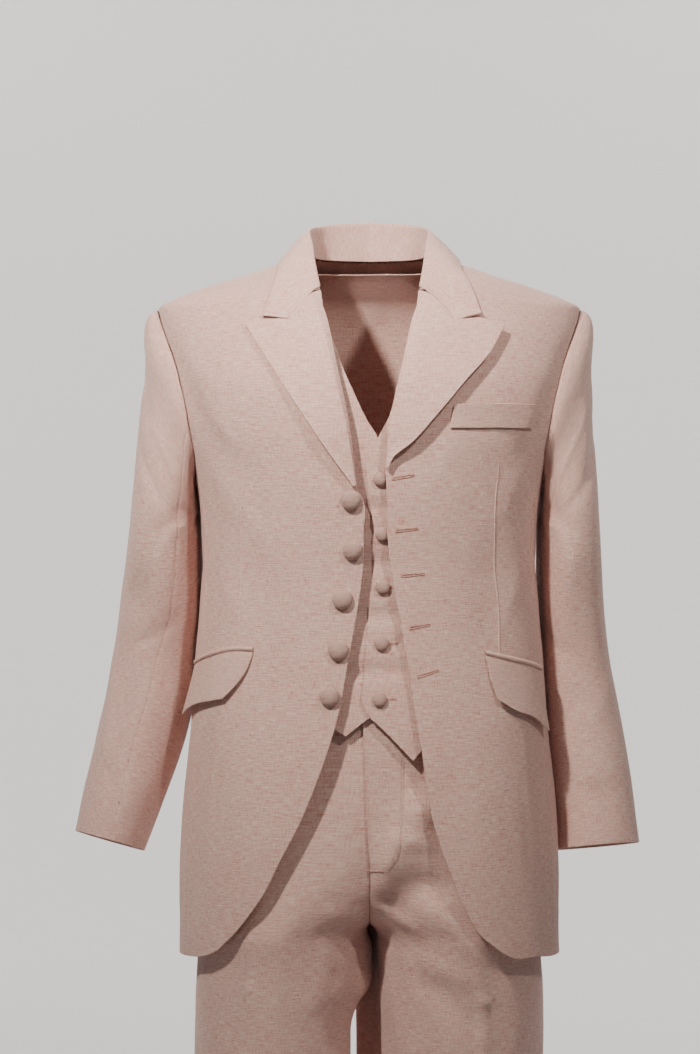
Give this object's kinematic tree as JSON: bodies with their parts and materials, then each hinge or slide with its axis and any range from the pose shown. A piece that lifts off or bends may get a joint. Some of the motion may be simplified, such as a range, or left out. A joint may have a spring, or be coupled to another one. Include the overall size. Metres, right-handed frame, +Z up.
{
  "type": "three-piece suit: jacket, waistcoat and trousers, filled out with no wearer",
  "caption": "Pale linen suit of jacket, waistcoat and trousers, standing open as worn, with notch lapels, flap pockets and covered buttons.",
  "frame": {"origin": "middle of the hollow between the shoulders, where the suit hangs on its wearer, 1.5 m above the wearer's soles", "axes": "+Z up along the wearer, -Y the front of the suit, +X the wearer's left"},
  "size_m": [0.6263, 0.293, 1.512],
  "materials": {
    "suit_cloth": "matt slubbed linen weave",
    "button_cloth": "smooth cloth stretched over the button"
  },
  "bodies": {
    "root": {"jacket_back_left": "suit_cloth", "jacket_back_right": "suit_cloth", "jacket_button_1": "button_cloth", "jacket_button_2": "button_cloth", "jacket_button_3": "button_cloth", "jacket_button_4": "button_cloth", "jacket_button_5": "button_cloth", "jacket_collar": "suit_cloth", "jacket_flap_left": "suit_cloth", "jacket_flap_right": "suit_cloth", "jacket_front_left": "suit_cloth", "jacket_front_right": "suit_cloth", "jacket_lapel_left": "suit_cloth", "jacket_lapel_right": "suit_cloth", "jacket_piping_left": "suit_cloth", "jacket_piping_right": "suit_cloth", "jacket_side_left": "suit_cloth", "jacket_side_right": "suit_cloth", "jacket_sleeve_under_left": "suit_cloth", "jacket_sleeve_under_right": "suit_cloth", "jacket_sleeve_upper_left": "suit_cloth", "jacket_sleeve_upper_right": "suit_cloth", "jacket_welt": "suit_cloth", "trousers_back_left": "suit_cloth", "trousers_back_right": "suit_cloth", "trousers_fly": "suit_cloth", "trousers_front_left": "suit_cloth", "trousers_front_right": "suit_cloth", "trousers_waistband": "suit_cloth", "waistcoat_back": "suit_cloth", "waistcoat_button_1": "button_cloth", "waistcoat_button_2": "button_cloth", "waistcoat_button_3": "button_cloth", "waistcoat_button_4": "button_cloth", "waistcoat_button_5": "button_cloth", "waistcoat_front_left": "suit_cloth", "waistcoat_front_right": "suit_cloth"}
  },
  "joints": []
}
